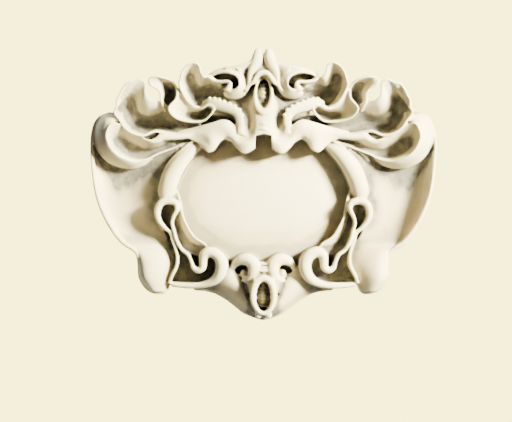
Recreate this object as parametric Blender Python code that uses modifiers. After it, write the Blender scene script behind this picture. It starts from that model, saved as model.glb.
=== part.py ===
# A carved stone cartouche in the fleshy, ear-like style of the seventeenth century: a blank
# domed field, framed by a mask with two horns above, cupped lobes and two broad wings at the
# sides, rolled strands and volutes, and a small gaping mask at the foot. It is carved from one
# block, fixed to a wall by its flat back.
#
# The front faces -Y and the wall is the plane Y = 0. The origin is on the back, midway.

import math

import bmesh
import bpy
from mathutils import Matrix, Vector

# Driving dimensions, in metres
WIDTH = 0.80  # over both wings
RELIEF_DEPTH = 0.110  # from the wall to the highest carving
GROUND_THICKNESS = 0.024  # of the plate behind all the carving
FIELD_DEPTH = 0.052  # from the wall to the crown of the blank field
RIM_RADIUS = 0.0032  # of the rounded edge of each wing and lobe
UNDERCUT = 0.14  # how far those are cut back under each edge, as a share of their width

# The forms are drawn past the wall plane, which then cuts them off flat
INTO_WALL = -0.012

# Fineness of the faceted solid
CARVING_STEP = 0.003
TRIANGLES = 11000

STONE_COLOUR = (0.80, 0.76, 0.66, 1.0)
STONE_ROUGHNESS = 0.85

# The carving is drawn on one half, x from the axis outwards, as shares of the whole:
# x and z in hundredths of the width, depth in hundredths of the relief depth.
ACROSS = WIDTH / 100
FORWARD = RELIEF_DEPTH / 100

# Shells, each between two edges of (x, z, depth). Hollow is how far the surface sinks below the
# edges, or swells above them where it is negative, from the shell's root to its tip, and lowest
# is where across it that is.
SHELLS = {
    "wing": {
        "outer": [
            (44.0, 20.4, 50), (47.6, 18.8, 52), (49.3, 14.5, 54), (49.6, 8.0, 58), (48.7, 1.0, 62),
            (47.2, -5.5, 63), (44.3, -11.8, 62), (40.6, -16.9, 60), (36.7, -19.6, 58),
            (36.0, -23.0, 52), (35.6, -27.4, 48), (32.8, -31.0, 44),
        ],
        "inner": [
            (37.0, 16.0, 36), (31.0, 12.0, 42), (25.0, 10.6, 52), (25.8, 6.6, 54), (27.8, 1.0, 54),
            (29.6, -4.5, 52), (30.2, -9.8, 48), (28.4, -14.6, 44), (26.1, -18.4, 42),
            (25.0, -22.4, 44), (26.6, -27.0, 46), (28.4, -31.3, 44),
        ],
        "hollow": (6, 12, 20, 27, 31, 31, 26, 14, -8, -20, -24, -12),
        "lowest": 0.34,
    },
    "wing_curl": {
        "outer": [
            (40.4, 20.3, 64), (43.6, 20.3, 60), (46.6, 19.2, 56), (48.6, 16.2, 53), (48.9, 12.6, 53),
            (47.5, 9.2, 54), (45.0, 6.4, 53), (41.5, 4.8, 51), (38.0, 4.4, 49), (34.8, 5.2, 46),
            (32.2, 7.0, 44),
        ],
        "inner": [
            (40.6, 18.6, 68), (42.6, 17.7, 80), (43.9, 16.4, 87), (44.6, 14.4, 90), (44.5, 12.2, 90),
            (43.6, 10.1, 88), (41.8, 8.2, 84), (39.4, 6.9, 78), (36.9, 6.2, 70), (34.6, 6.5, 60),
            (32.4, 7.6, 50),
        ],
        "hollow": (-5, -6, -7, -7, -7, -7, -6, -5, -4, -2, 0),
    },
    "great_lobe": {
        "outer": [
            (18.0, 17.4, 46), (23.5, 19.6, 50), (27.6, 22.4, 56), (30.4, 23.4, 66), (32.6, 23.9, 74),
            (33.8, 25.6, 79), (33.9, 28.6, 84), (35.6, 29.6, 86), (37.2, 28.8, 87), (39.0, 28.5, 87),
            (40.3, 26.8, 86),
        ],
        "inner": [
            (18.5, 14.6, 52), (25.0, 14.3, 58), (30.8, 14.9, 70), (34.4, 13.7, 76), (37.4, 14.3, 79),
            (39.6, 15.8, 81), (41.2, 18.2, 82), (42.6, 20.2, 83), (41.9, 21.9, 84), (41.9, 23.6, 85),
            (41.0, 25.4, 86),
        ],
        "hollow": (14, 32, 44, 52, 54, 50, 42, 30, 18, 8, 2),
        "lowest": 0.68,
    },
    "hooked_lobe": {
        "outer": [
            (28.2, 20.6, 58), (29.4, 23.6, 70), (29.5, 25.8, 76), (30.6, 27.2, 80), (32.1, 27.9, 82),
            (32.7, 29.1, 82),
        ],
        "inner": [
            (24.6, 22.0, 48), (24.9, 25.0, 56), (25.0, 27.6, 66), (26.6, 29.5, 76), (30.2, 30.5, 83),
            (32.3, 30.1, 82),
        ],
        "hollow": (14, 34, 36, 20, 4, 0),
        "lowest": 0.6,
    },
    "crest_lobe": {
        "outer": [
            (5.6, 24.6, 46), (9.5, 25.5, 50), (12.6, 28.6, 64), (15.4, 30.6, 74), (17.0, 30.5, 78),
            (18.0, 31.9, 82), (18.4, 33.6, 85), (19.9, 34.5, 87), (21.5, 33.8, 87), (22.5, 32.9, 86),
        ],
        "inner": [
            (6.6, 21.6, 46), (10.5, 22.8, 50), (14.6, 23.9, 58), (18.2, 21.9, 64), (20.8, 22.8, 70),
            (22.4, 24.6, 76), (23.6, 26.8, 80), (24.1, 28.6, 83), (23.7, 30.0, 85), (23.3, 31.4, 86),
        ],
        "hollow": (0, 10, 32, 44, 46, 42, 32, 20, 9, 2),
        "lowest": 0.6,
    },
    "tongue_lobe": {
        "outer": [
            (24.2, 27.6, 74), (23.6, 25.4, 72), (22.3, 23.4, 68), (20.3, 21.9, 66), (18.2, 21.4, 72),
            (16.2, 22.3, 78), (14.9, 22.3, 80), (14.2, 21.6, 80),
        ],
        "inner": [
            (24.7, 26.6, 76), (25.0, 24.2, 78), (27.0, 21.4, 84), (25.2, 18.9, 76), (21.5, 17.8, 68),
            (17.6, 17.9, 68), (15.2, 19.6, 76), (14.3, 20.9, 79),
        ],
        "hollow": (0, 4, 6, 14, 34, 42, 30, 6),
    },
    "ear_lobe": {
        "outer": [
            (17.5, 14.2, 66), (22.0, 14.1, 64), (26.0, 13.8, 66), (30.0, 12.4, 72), (33.2, 12.4, 74),
            (36.0, 13.8, 72), (39.8, 16.0, 76), (43.0, 17.2, 88), (44.6, 15.0, 91),
        ],
        "inner": [
            (18.0, 12.8, 62), (22.0, 11.8, 58), (26.5, 10.0, 56), (30.6, 8.4, 58), (33.6, 6.9, 62),
            (36.8, 6.5, 68), (40.0, 7.6, 75), (42.8, 9.6, 82), (44.8, 12.6, 90),
        ],
        "hollow": (0, 6, 14, 22, 32, 38, 34, 18, -2),
        "lowest": 0.66,
    },
    "inner_strip": {
        "outer": [
            (27.0, -1.0, 50), (25.8, -5.0, 50), (25.6, -10.5, 36), (24.9, -14.0, 32),
            (23.0, -18.0, 32), (19.5, -20.5, 36),
        ],
        "inner": [
            (25.6, -0.6, 48), (24.0, -5.0, 56), (23.3, -9.0, 60), (21.9, -12.4, 60),
            (19.7, -15.6, 58), (16.5, -18.0, 56),
        ],
        "hollow": (0, 1, 2, 4, 4, 2),
    },
    "sleeve": {
        "outer": [
            (11.0, -28.0, 44), (9.8, -23.8, 58), (8.0, -26.2, 62), (6.1, -29.0, 66), (4.6, -32.5, 68),
            (1.8, -36.6, 66),
        ],
        "inner": [
            (20.0, -30.5, 36), (15.0, -31.2, 36), (11.2, -33.0, 38), (8.2, -35.2, 40),
            (5.2, -37.4, 44), (0.0, -39.1, 50),
        ],
        "hollow": (-8, -14, -16, -16, -12, -6),
    },
}

# Skins laid over rows of (x, z, depth)
SKINS = {
    # from the throat down to the notch under the nose, from the axis outwards
    "face": [
        [
            (0, 28.6, 40), (2.4, 28.6, 46), (4.2, 27.6, 50), (6.5, 26.2, 46), (9.5, 25.2, 42),
            (13.5, 24.9, 42),
        ],
        [
            (0, 24.6, 50), (2.6, 24.4, 74), (4.4, 24.0, 64), (6.8, 23.6, 52), (9.6, 23.4, 54),
            (13.6, 23.9, 60),
        ],
        [
            (0, 21.4, 80), (2.5, 21.4, 84), (4.4, 21.2, 72), (6.4, 20.8, 68), (9.2, 21.8, 74),
            (13.4, 23.0, 74),
        ],
        [
            (0, 18.8, 91), (2.3, 18.7, 87), (4.1, 18.4, 74), (5.8, 18.5, 78), (7.0, 18.9, 84),
            (9.0, 20.4, 84),
        ],
        [
            (0, 16.4, 94), (2.2, 16.3, 90), (4.0, 16.0, 76), (5.4, 15.8, 80), (6.3, 15.9, 86),
            (7.4, 16.2, 86),
        ],
        [
            (0, 14.1, 92), (2.2, 13.6, 91), (4.0, 13.4, 83), (5.4, 13.6, 83), (6.4, 13.9, 84),
            (7.6, 14.2, 84),
        ],
    ],
    # from the corner of the notch out along the jaw, from the eyelid down to the lips
    "cheek": [
        [
            (2.3, 15.6, 88), (4.6, 15.2, 77), (6.8, 15.3, 80), (8.4, 16.8, 82), (10.0, 17.9, 83),
            (11.8, 18.2, 82), (13.8, 17.7, 79), (16.4, 17.0, 73), (19.6, 16.2, 62), (24.5, 15.1, 52),
        ],
        [
            (2.3, 13.9, 91), (4.6, 13.4, 82), (7.0, 13.9, 80), (9.0, 15.2, 85), (11.0, 16.2, 87),
            (13.0, 16.1, 84), (15.4, 15.4, 80), (17.8, 15.0, 74), (20.4, 14.8, 67), (25.0, 14.3, 60),
        ],
        [
            (2.3, 11.9, 91), (4.7, 11.2, 92), (7.3, 11.9, 86), (9.2, 13.2, 83), (11.0, 13.9, 82),
            (12.9, 13.2, 82), (15.1, 12.6, 84), (17.6, 13.5, 76), (20.6, 13.7, 69), (25.4, 13.8, 66),
        ],
        [
            (2.4, 10.0, 86), (5.3, 8.5, 86), (7.7, 10.2, 82), (8.9, 11.7, 76), (10.8, 12.6, 72),
            (12.4, 11.9, 75), (14.0, 9.7, 78), (15.7, 8.9, 78), (17.4, 10.2, 72), (19.4, 12.4, 66),
        ],
    ],
    # between the horn and the scroll beside it
    "horn_skin": [
        [(0.0, 36.8, 74), (1.8, 36.4, 82), (3.3, 35.0, 82), (5.2, 34.0, 82), (8.6, 33.3, 82)],
        [(0.0, 34.4, 74), (2.0, 34.0, 84), (3.6, 33.1, 78), (5.2, 32.8, 80), (7.4, 32.4, 84)],
        [(0.0, 31.6, 82), (2.2, 30.8, 74), (3.4, 30.4, 64), (4.2, 30.2, 68), (5.4, 30.2, 82)],
    ],
    "foot_cheek": [
        [(2.0, -26.0, 84), (4.6, -26.8, 78), (7.0, -25.9, 60), (8.4, -25.2, 54)],
        [(2.6, -28.2, 88), (4.2, -28.4, 80), (5.6, -28.0, 66), (6.9, -27.5, 56)],
        [(3.0, -31.4, 88), (4.0, -31.4, 78), (4.7, -31.2, 68), (5.2, -31.0, 60)],
    ],
}

# Solid ridges along a line of (x, z, depth of the crest, half the width)
RIDGES = {
    "wing_rim": [
        (49.2, 9.0, 57, 0.4), (48.6, 1.0, 64, 0.5), (47.1, -5.5, 66, 0.6), (44.2, -11.8, 66, 0.65),
        (40.6, -16.7, 65, 0.65), (37.0, -19.2, 63, 0.6), (36.0, -21.4, 60, 0.5),
        (35.8, -24.5, 52, 0.4),
    ],
    "inner_roll": [
        (18.0, 11.6, 60, 1.4), (20.8, 9.8, 66, 2.0), (24.0, 6.2, 70, 2.3), (26.6, 1.8, 72, 2.6),
        (27.8, -2.2, 70, 2.6), (27.7, -4.4, 64, 2.0), (27.6, -5.4, 56, 1.2),
    ],
    "roll_lip": [
        (20.0, 12.2, 66, 0.4), (22.0, 10.9, 64, 0.4), (24.4, 8.8, 62, 0.4), (27.0, 6.0, 60, 0.4),
        (28.8, 2.6, 60, 0.4), (29.6, -0.6, 56, 0.4), (29.2, -2.6, 44, 0.4),
    ],
    "outer_rib": [
        (27.4, -4.9, 74, 1.0), (29.5, -5.7, 74, 1.0), (30.5, -8.2, 72, 0.9), (29.9, -10.8, 70, 0.7),
        (28.2, -12.8, 68, 0.55), (26.7, -14.2, 66, 0.5), (26.1, -16.4, 66, 0.45),
        (25.3, -18.6, 66, 0.45), (24.7, -21.2, 66, 0.45), (25.0, -23.8, 66, 0.45),
        (26.3, -26.4, 64, 0.45), (27.2, -28.8, 58, 0.45),
    ],
    "volute": [
        (27.4, -4.9, 74, 1.0), (25.3, -5.6, 74, 0.9), (24.8, -7.4, 74, 0.65), (25.8, -9.5, 72, 0.5),
        (26.3, -11.4, 70, 0.45), (25.7, -13.6, 70, 0.45), (25.1, -16.0, 70, 0.45),
        (23.6, -18.9, 70, 0.45), (21.7, -20.4, 72, 0.5), (20.7, -22.4, 74, 0.5),
        (20.1, -24.1, 76, 0.7), (18.8, -24.9, 78, 0.9), (17.5, -24.1, 80, 1.05),
        (17.3, -22.3, 82, 1.2), (17.0, -20.6, 86, 1.4), (15.5, -19.7, 88, 1.5),
        (13.4, -20.4, 90, 1.6), (12.1, -22.2, 90, 1.75), (12.0, -24.4, 88, 1.7),
        (12.9, -26.6, 84, 1.5), (14.8, -28.2, 76, 1.2), (17.8, -29.2, 68, 0.9),
        (22.0, -29.4, 62, 0.8), (26.5, -29.0, 56, 0.7),
    ],
    "cheek_band": [
        (16.5, 14.6, 70, 0.9), (20.0, 13.9, 70, 0.8), (25.0, 13.4, 72, 0.9), (28.8, 13.4, 74, 1.1),
        (30.6, 12.4, 74, 0.9), (32.6, 11.8, 72, 0.5),
    ],
    "hood": [
        (5.4, 26.4, 84, 0.5), (4.2, 28.0, 88, 0.5), (3.0, 28.9, 92, 0.5), (2.2, 30.2, 94, 0.6),
        (1.2, 31.3, 95, 0.7), (0.0, 31.7, 95, 0.75),
    ],
    "crest_scroll": [
        (15.6, 30.9, 74, 0.5), (13.2, 32.1, 80, 0.75), (10.4, 32.5, 87, 0.95), (7.6, 31.8, 93, 1.2),
        (5.9, 30.1, 97, 1.4), (5.6, 27.9, 98, 1.5), (6.6, 26.2, 96, 1.5), (8.4, 25.5, 92, 1.4),
        (10.1, 25.7, 88, 1.2), (11.0, 26.5, 84, 0.9),
    ],
    "crest_hook": [
        (10.4, 26.4, 87, 1.2), (9.9, 27.4, 88, 0.9), (9.5, 28.4, 88, 0.55), (10.3, 29.1, 86, 0.42),
        (12.4, 29.1, 82, 0.4), (14.4, 29.4, 79, 0.4), (15.8, 30.5, 76, 0.4),
    ],
    "horn": [
        (1.5, 38.7, 74, 0.5), (1.5, 38.1, 79, 1.05), (1.6, 36.8, 83, 1.45), (1.9, 35.2, 86, 1.55),
        (2.6, 33.5, 88, 1.4), (3.5, 31.8, 90, 1.0), (4.0, 30.0, 90, 0.6), (4.2, 28.2, 88, 0.45),
        (4.9, 26.6, 84, 0.4),
    ],
    "horn_web": [
        (1.9, 36.2, 80, 0.9), (3.2, 34.8, 82, 0.8), (5.2, 33.8, 83, 0.7), (8.0, 33.2, 83, 0.6),
        (11.0, 32.8, 80, 0.5),
    ],
    "brow_underside": [
        (15.0, 20.4, 66, 0.8), (12.0, 20.2, 70, 1.0), (9.6, 19.6, 72, 1.0), (8.0, 18.6, 70, 0.8),
    ],
    "brow": [
        (17.4, 22.9, 68, 0.5), (16.0, 23.2, 74, 1.0), (14.2, 22.8, 79, 1.5), (12.0, 22.1, 83, 1.45),
        (9.6, 21.3, 86, 1.3), (7.7, 20.1, 88, 1.25), (6.9, 18.4, 89, 1.1), (7.0, 16.6, 86, 1.0),
        (7.6, 15.3, 77, 0.6),
    ],
    "foot_brow": [
        (8.6, -24.6, 62, 0.6), (8.1, -23.2, 72, 1.0), (6.6, -22.0, 81, 1.5), (4.6, -21.8, 86, 1.75),
        (3.0, -23.0, 88, 1.9), (2.6, -25.0, 89, 1.8), (3.4, -26.9, 87, 1.4), (4.8, -27.7, 82, 0.9),
        (6.0, -27.3, 74, 0.6),
    ],
    "foot_bridge": [
        (0.0, -22.4, 72, 1.2), (0.0, -25.0, 80, 1.4), (0.0, -27.0, 88, 1.6),
    ],
}

# How full the crest of some ridges is, and how far it leans down to one side, in half-widths
SECTIONS = {
    "brow": {"fullness": 0.45, "lean": -0.25},
    "crest_scroll": {"fullness": 0.35, "lean": 1.1},
    "horn": {"fullness": 0.8},
    "hood": {"fullness": 0.8},
}

# Oval lips round a mouth: middle, half the width and height of the line, crest depth, half-width
MOUTHS = {
    "throat": {"middle": (0.0, 25.2), "half": (2.4, 5.0), "crest": 94, "lip": (0.4, 1.3)},
    "foot_mouth": {"middle": (0.0, -32.1), "half": (3.05, 5.1), "crest": 100, "lip": (0.95, 0.7)},
}

# Rounded masses: middle, depth of the crown, half sizes across and up
KNOBS = {
    "wing_root": [(27.4, 9.6), 46, (3.2, 2.6)],
    "roll_root": [(23.8, 10.9), 58, (2.6, 1.7)],
    "curl_end": [(42.3, 18.2), 76, (1.6, 1.4)],
    "scroll_floor": [(12.0, 28.1), 60, (3.6, 2.4)],
    "eye_floor": [(11.0, 19.2), 60, (5.0, 2.4)],
    "chin": [(1.35, -37.0), 93, (1.25, 1.1)],
    "foot_eye": [(5.5, -25.6), 76, (1.6, 1.4)],
    "throat_tongue": [(0.0, 25.2), 72, (1.4, 3.5)],
    "foot_tongue": [(0.0, -32.0), 74, (1.85, 3.7)],
    "tooth": [(2.15, -29.2), 88, (0.55, 0.5)],
    "side_tooth": [(2.5, -31.2), 88, (0.55, 0.5)],
    "low_tooth": [(2.45, -33.0), 88, (0.55, 0.5)],
}

# Outline of the plate behind the carving, kept inside the carved edges
GROUND = [
    (0.0, 36.6), (1.6, 36.4), (3.0, 33.4), (7.0, 32.4), (12.0, 31.4), (15.6, 29.6), (17.6, 30.4),
    (19.0, 32.6), (21.2, 31.6), (22.2, 28.2), (24.6, 26.6), (26.8, 28.4), (28.2, 27.6), (28.0, 24.0),
    (29.6, 22.8), (32.2, 22.8), (34.8, 24.6), (35.4, 27.4), (37.6, 26.8), (39.2, 24.2), (39.8, 20.6),
    (43.0, 19.0), (46.2, 17.4), (47.6, 13.0), (47.4, 6.0), (45.8, 0.0), (43.6, -6.0), (40.6, -12.0),
    (37.2, -16.4), (33.6, -18.8), (33.0, -24.0), (31.6, -28.4), (28.8, -29.6), (24.0, -28.8),
    (17.0, -29.4), (12.0, -30.8), (8.0, -33.8), (4.0, -37.2), (0.0, -38.0),
]

# The domed field, an oval cap: middle, half width and half height of its oval
FIELD = [(0.0, -5.2), (31.0, 24.0)]


def smooth_curve(points, per_span=6, closed=False):
    """Points along a smooth curve through the given ones, whatever they hold."""
    spans = len(points) if closed else len(points) - 1
    found = []
    for i in range(spans):
        if closed:
            near = [points[(i + k) % len(points)] for k in (-1, 0, 1, 2)]
        else:
            near = [points[min(max(i + k, 0), len(points) - 1)] for k in (-1, 0, 1, 2)]
        for step in range(per_span):
            t = step / per_span
            weights = (
                -0.5 * t + t * t - 0.5 * t**3,
                1 - 2.5 * t * t + 1.5 * t**3,
                0.5 * t + 2 * t * t - 1.5 * t**3,
                -0.5 * t * t + 0.5 * t**3,
            )
            found.append(tuple(sum(w * p[j] for w, p in zip(weights, near)) for j in range(len(near[0]))))
    if not closed:
        found.append(tuple(points[-1]))
    return found


def place(x, z, depth):
    """A point of the drawing, in metres. Depth is in metres, forward of the wall."""
    return Vector((x * ACROSS, -depth, z * ACROSS))


def skin(bm, rings, closed=False):
    """A closed body over rings of the same number of points."""
    rows = [[bm.verts.new(p) for p in ring] for ring in rings]
    around = len(rows[0])
    pairs = list(zip(rows, rows[1:] + rows[:1] if closed else rows[1:]))
    for low, high in pairs:
        for k in range(around):
            n = (k + 1) % around
            bm.faces.new((low[k], low[n], high[n], high[k]))
    if not closed:
        bm.faces.new(rows[0])
        bm.faces.new(rows[-1][::-1])


def directions(line, closed=False):
    """Unit vectors across each point of a line in the plane of the wall."""
    found = []
    for i in range(len(line)):
        if closed:
            before, after = line[i - 1], line[(i + 1) % len(line)]
        else:
            before, after = line[max(i - 1, 0)], line[min(i + 1, len(line) - 1)]
        dx, dz = after[0] - before[0], after[1] - before[1]
        length = math.hypot(dx, dz) or 1.0
        found.append((-dz / length, dx / length))
    return found


def ridge(bm, line, closed=False, flare=1.25, arc=8, fullness=1.0, lean=0.0):
    """A solid ridge with a rounded crest, standing on the wall and a little wider at its foot."""
    line = smooth_curve(line, closed=closed)
    rings = []
    for (x, z, crest, half), (nx, nz) in zip(line, directions(line, closed)):
        crest, rise = crest * FORWARD, half * ACROSS
        ring = []
        for k in range(arc + 1):
            angle = math.pi * k / arc
            side = half * math.cos(angle)
            drop = fullness * (1 - math.sin(angle)) + lean * (1 - math.cos(angle))
            ring.append(place(x + nx * side, z + nz * side, crest - rise * drop))
        for side in (-half * flare, half * flare):
            ring.append(place(x + nx * side, z + nz * side, INTO_WALL))
        rings.append(ring)
    skin(bm, rings, closed)


def bead(bm, line, radius, sides=8):
    """A round bead along a line of (x, z, depth in metres)."""
    rings = []
    for (x, z, depth), (nx, nz) in zip(line, directions(line)):
        ring = []
        for k in range(sides):
            angle = 2 * math.pi * k / sides
            side = radius / ACROSS * math.cos(angle)
            ring.append(place(x + nx * side, z + nz * side, depth + radius * math.sin(angle)))
        rings.append(ring)
    skin(bm, rings)


def shell(bm, outer, inner, hollow, lowest=0.5, across=12):
    """A hollowed mass between two edges with rounded rims, cut back under them to the wall."""
    edges = [smooth_curve(outer), smooth_curve(inner)]
    sinks = smooth_curve([(h,) for h in hollow])
    rings = []
    for (ax, az, ad), (bx, bz, bd), (sink,) in zip(*edges, sinks):
        front, back = [], []
        for k in range(across + 1):
            t = k / across
            bend = 1 - (2 * t ** (math.log(0.5) / math.log(lowest)) - 1) ** 2
            depth = (ad * (1 - t) + bd * t - sink * bend) * FORWARD
            front.append(place(ax + (bx - ax) * t, az + (bz - az) * t, depth))
            s = 0.5 + (t - 0.5) * (1 - 2 * UNDERCUT)
            back.append(place(ax + (bx - ax) * s, az + (bz - az) * s, INTO_WALL))
        rings.append(front + back[::-1])
    skin(bm, rings)
    rim = smooth_curve(outer + inner[::-1])
    bead(bm, [(x, z, d * FORWARD - RIM_RADIUS / 2) for x, z, d in rim], RIM_RADIUS)


def laid_skin(bm, rows):
    """A skin over rows of points, smooth both ways, on a mass that stands on the wall."""
    swept = [smooth_curve(row, per_span=4) for row in rows]
    columns = [smooth_curve(column, per_span=4) for column in zip(*swept)]
    rings = []
    for column in columns:
        front = [place(x, z, depth * FORWARD) for x, z, depth in column]
        back = [place(x, z, INTO_WALL) for x, z, depth in column]
        rings.append(front + back[::-1])
    skin(bm, rings)


def mouth(bm, middle, half, crest, lip, points=12):
    """An oval lip, thicker at its foot than at its sides."""
    line = []
    for k in range(points):
        angle = 2 * math.pi * k / points
        low = (0.5 - 0.5 * math.cos(angle)) ** 2
        line.append(
            (
                middle[0] + half[0] * math.sin(angle),
                middle[1] + half[1] * math.cos(angle),
                crest,
                lip[0] + (lip[1] - lip[0]) * low,
            )
        )
    ridge(bm, line, closed=True)


def knob(bm, middle, crown, half, side=1):
    """A rounded mass rising from the wall."""
    size = Matrix.Diagonal((half[0] * ACROSS, crown * FORWARD, half[1] * ACROSS, 1))
    at = Matrix.Translation((side * middle[0] * ACROSS, 0, middle[1] * ACROSS))
    bmesh.ops.create_uvsphere(bm, u_segments=20, v_segments=12, radius=1, matrix=at @ size)


def ground(bm):
    """The plate that all the carving grows from."""
    line = smooth_curve(GROUND, per_span=3)
    skin(bm, [[place(x, z, depth) for x, z in line] for depth in (INTO_WALL, GROUND_THICKNESS)])


def field(bm):
    """The low dome of the blank field."""
    (x, z), (half_width, half_height) = FIELD
    size = Matrix.Diagonal((half_width * ACROSS, FIELD_DEPTH, half_height * ACROSS, 1))
    at = Matrix.Translation((x * ACROSS, 0, z * ACROSS))
    bmesh.ops.create_uvsphere(bm, u_segments=48, v_segments=24, radius=1, matrix=at @ size)


def carve_half():
    """Half of the carving, as overlapping closed bodies."""
    bm = bmesh.new()
    ground(bm)
    field(bm)
    for form in SHELLS.values():
        shell(bm, **form)
    for rows in SKINS.values():
        laid_skin(bm, rows)
    for name, line in RIDGES.items():
        ridge(bm, line, **SECTIONS.get(name, {}))
    for form in MOUTHS.values():
        mouth(bm, **form)
    for middle, crown, half in KNOBS.values():
        knob(bm, middle, crown, half)
    bmesh.ops.recalc_face_normals(bm, faces=bm.faces)
    mesh = bpy.data.meshes.new("cartouche")
    bm.to_mesh(mesh)
    bm.free()
    return mesh


def stone():
    material = bpy.data.materials.new("pale_limestone")
    material.use_nodes = True
    shader = material.node_tree.nodes["Principled BSDF"]
    shader.inputs["Base Color"].default_value = STONE_COLOUR
    shader.inputs["Roughness"].default_value = STONE_ROUGHNESS
    shader.inputs["Metallic"].default_value = 0.0
    return material


def wall_side(collection):
    """A block standing in for the wall, which cuts the back flat."""
    bpy.ops.mesh.primitive_cube_add(size=1)
    block = bpy.context.object
    block.name = "wall_block"
    block.scale = (1.5 * WIDTH, WIDTH, 1.5 * WIDTH)
    block.location = (0, WIDTH / 2, 0)
    bpy.ops.object.transform_apply(location=True, rotation=False, scale=True)
    for owner in list(block.users_collection):
        owner.objects.unlink(block)
    collection.objects.link(block)
    block.hide_render = True
    block.display_type = "WIRE"
    return block


def triangle_count(obj):
    graph = bpy.context.evaluated_depsgraph_get()
    graph.update()
    mesh = obj.evaluated_get(graph).to_mesh()
    mesh.calc_loop_triangles()
    return len(mesh.loop_triangles)


def build():
    for obj in list(bpy.data.objects):
        bpy.data.objects.remove(obj)
    model = bpy.data.collections.new("cartouche")
    cutters = bpy.data.collections.new("cutters")
    for collection in (model, cutters):
        bpy.context.scene.collection.children.link(collection)
    cutters.hide_render = True

    mesh = carve_half()
    cartouche = bpy.data.objects.new("cartouche", mesh)
    model.objects.link(cartouche)
    mesh.materials.append(stone())

    mirror = cartouche.modifiers.new("other_half", "MIRROR")
    mirror.use_mirror_merge = False
    fuse = cartouche.modifiers.new("one_block", "REMESH")
    fuse.mode = "VOXEL"
    fuse.voxel_size = CARVING_STEP
    soften = cartouche.modifiers.new("softened", "SMOOTH")
    soften.factor = 0.5
    soften.iterations = 3
    facets = cartouche.modifiers.new("facets", "DECIMATE")
    facets.ratio = min(1.0, TRIANGLES / triangle_count(cartouche))
    facets.use_collapse_triangulate = True
    flat = cartouche.modifiers.new("flat_back", "BOOLEAN")
    flat.operation = "DIFFERENCE"
    flat.object = wall_side(cutters)


build()
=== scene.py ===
import bpy
import bmesh
import math
import numpy as np
from mathutils import Matrix, Vector


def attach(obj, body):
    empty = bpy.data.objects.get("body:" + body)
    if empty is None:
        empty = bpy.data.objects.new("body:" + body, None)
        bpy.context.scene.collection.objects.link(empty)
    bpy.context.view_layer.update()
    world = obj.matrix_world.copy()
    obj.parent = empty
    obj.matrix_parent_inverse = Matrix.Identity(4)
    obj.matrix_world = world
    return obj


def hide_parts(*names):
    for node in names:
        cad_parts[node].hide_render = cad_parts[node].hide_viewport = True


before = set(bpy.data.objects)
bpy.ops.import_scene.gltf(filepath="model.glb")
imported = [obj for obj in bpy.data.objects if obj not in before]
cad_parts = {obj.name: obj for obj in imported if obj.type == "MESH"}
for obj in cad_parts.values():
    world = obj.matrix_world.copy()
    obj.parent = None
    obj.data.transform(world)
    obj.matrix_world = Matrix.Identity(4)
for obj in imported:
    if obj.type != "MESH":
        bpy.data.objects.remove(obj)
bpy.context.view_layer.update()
print("frame loaded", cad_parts)

# The carving is drawn on the right half: x out from the axis and z up, in hundredths of the width,
# and depth forward of the wall in hundredths of the relief.
block = {
    "unit": 0.008,
    "relief": 0.00110,
    "intoWall": -0.012,     # forms run past the wall plane before the back is sawn flat
    "back": -1e-5,          # where the saw runs
    "ground": 0.024,        # plate behind the carving
    "undercut": 0.14,       # how far lobes are cut back under their edges
    "grain": 0.0017,        # fineness of the fused stone
    "quickGrain": 0.0032,
    "soften": 0.5, "softenings": 4,     # rubbing down of the fused stone
    "triangles": 188000,
    "quickTriangles": 90000,
}


# A smooth curve that passes through every point
def curveThrough(points, perSpan=8, closed=False):
    spans = len(points) if closed else len(points) - 1
    line = []
    for i in range(spans):
        if closed:
            near = [points[(i + k) % len(points)] for k in (-1, 0, 1, 2)]
        else:
            near = [points[min(max(i + k, 0), len(points) - 1)] for k in (-1, 0, 1, 2)]
        for step in range(perSpan):
            t = step / perSpan
            w = (-0.5 * t + t * t - 0.5 * t**3, 1 - 2.5 * t * t + 1.5 * t**3,
                 0.5 * t + 2 * t * t - 1.5 * t**3, -0.5 * t * t + 0.5 * t**3)
            line.append([sum(a * p[j] for a, p in zip(w, near)) for j in range(len(near[0]))])
    if not closed:
        line.append(list(points[-1]))
    return line


def onCarving(x, z, depth):
    return Vector((x * block["unit"], -depth * block["relief"], z * block["unit"]))


def addForm(carving, bm):
    bmesh.ops.recalc_face_normals(bm, faces=bm.faces[:])
    mesh = bpy.data.meshes.new("form")
    bm.to_mesh(mesh)
    bm.free()
    carving.from_mesh(mesh)
    bpy.data.meshes.remove(mesh)


# A grid given thickness while flat, then laid over the form:
# u runs along it, v across it, and w is 0 in front and -1 behind
def layOver(carving, along, across, place):
    bm = bmesh.new()
    bmesh.ops.create_grid(bm, x_segments=along, y_segments=across, size=0.5)
    made = bmesh.ops.extrude_face_region(bm, geom=bm.faces[:])
    behind = [g for g in made["geom"] if isinstance(g, bmesh.types.BMVert)]
    bmesh.ops.translate(bm, verts=behind, vec=(0, 0, -1))
    for v in bm.verts:
        v.co = place(v.co.x + 0.5, v.co.y + 0.5, v.co.z)
    addForm(carving, bm)


# The way across a line at one of its points, seen from the front
def sideways(line, i, closed):
    if closed:
        a, b = line[(i - 1) % (len(line) - 1)], line[(i + 1) % (len(line) - 1)]
    else:
        a, b = line[max(i - 1, 0)], line[min(i + 1, len(line) - 1)]
    run = math.hypot(b[0] - a[0], b[1] - a[1]) or 1.0
    return -(b[1] - a[1]) / run, (b[0] - a[0]) / run


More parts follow.
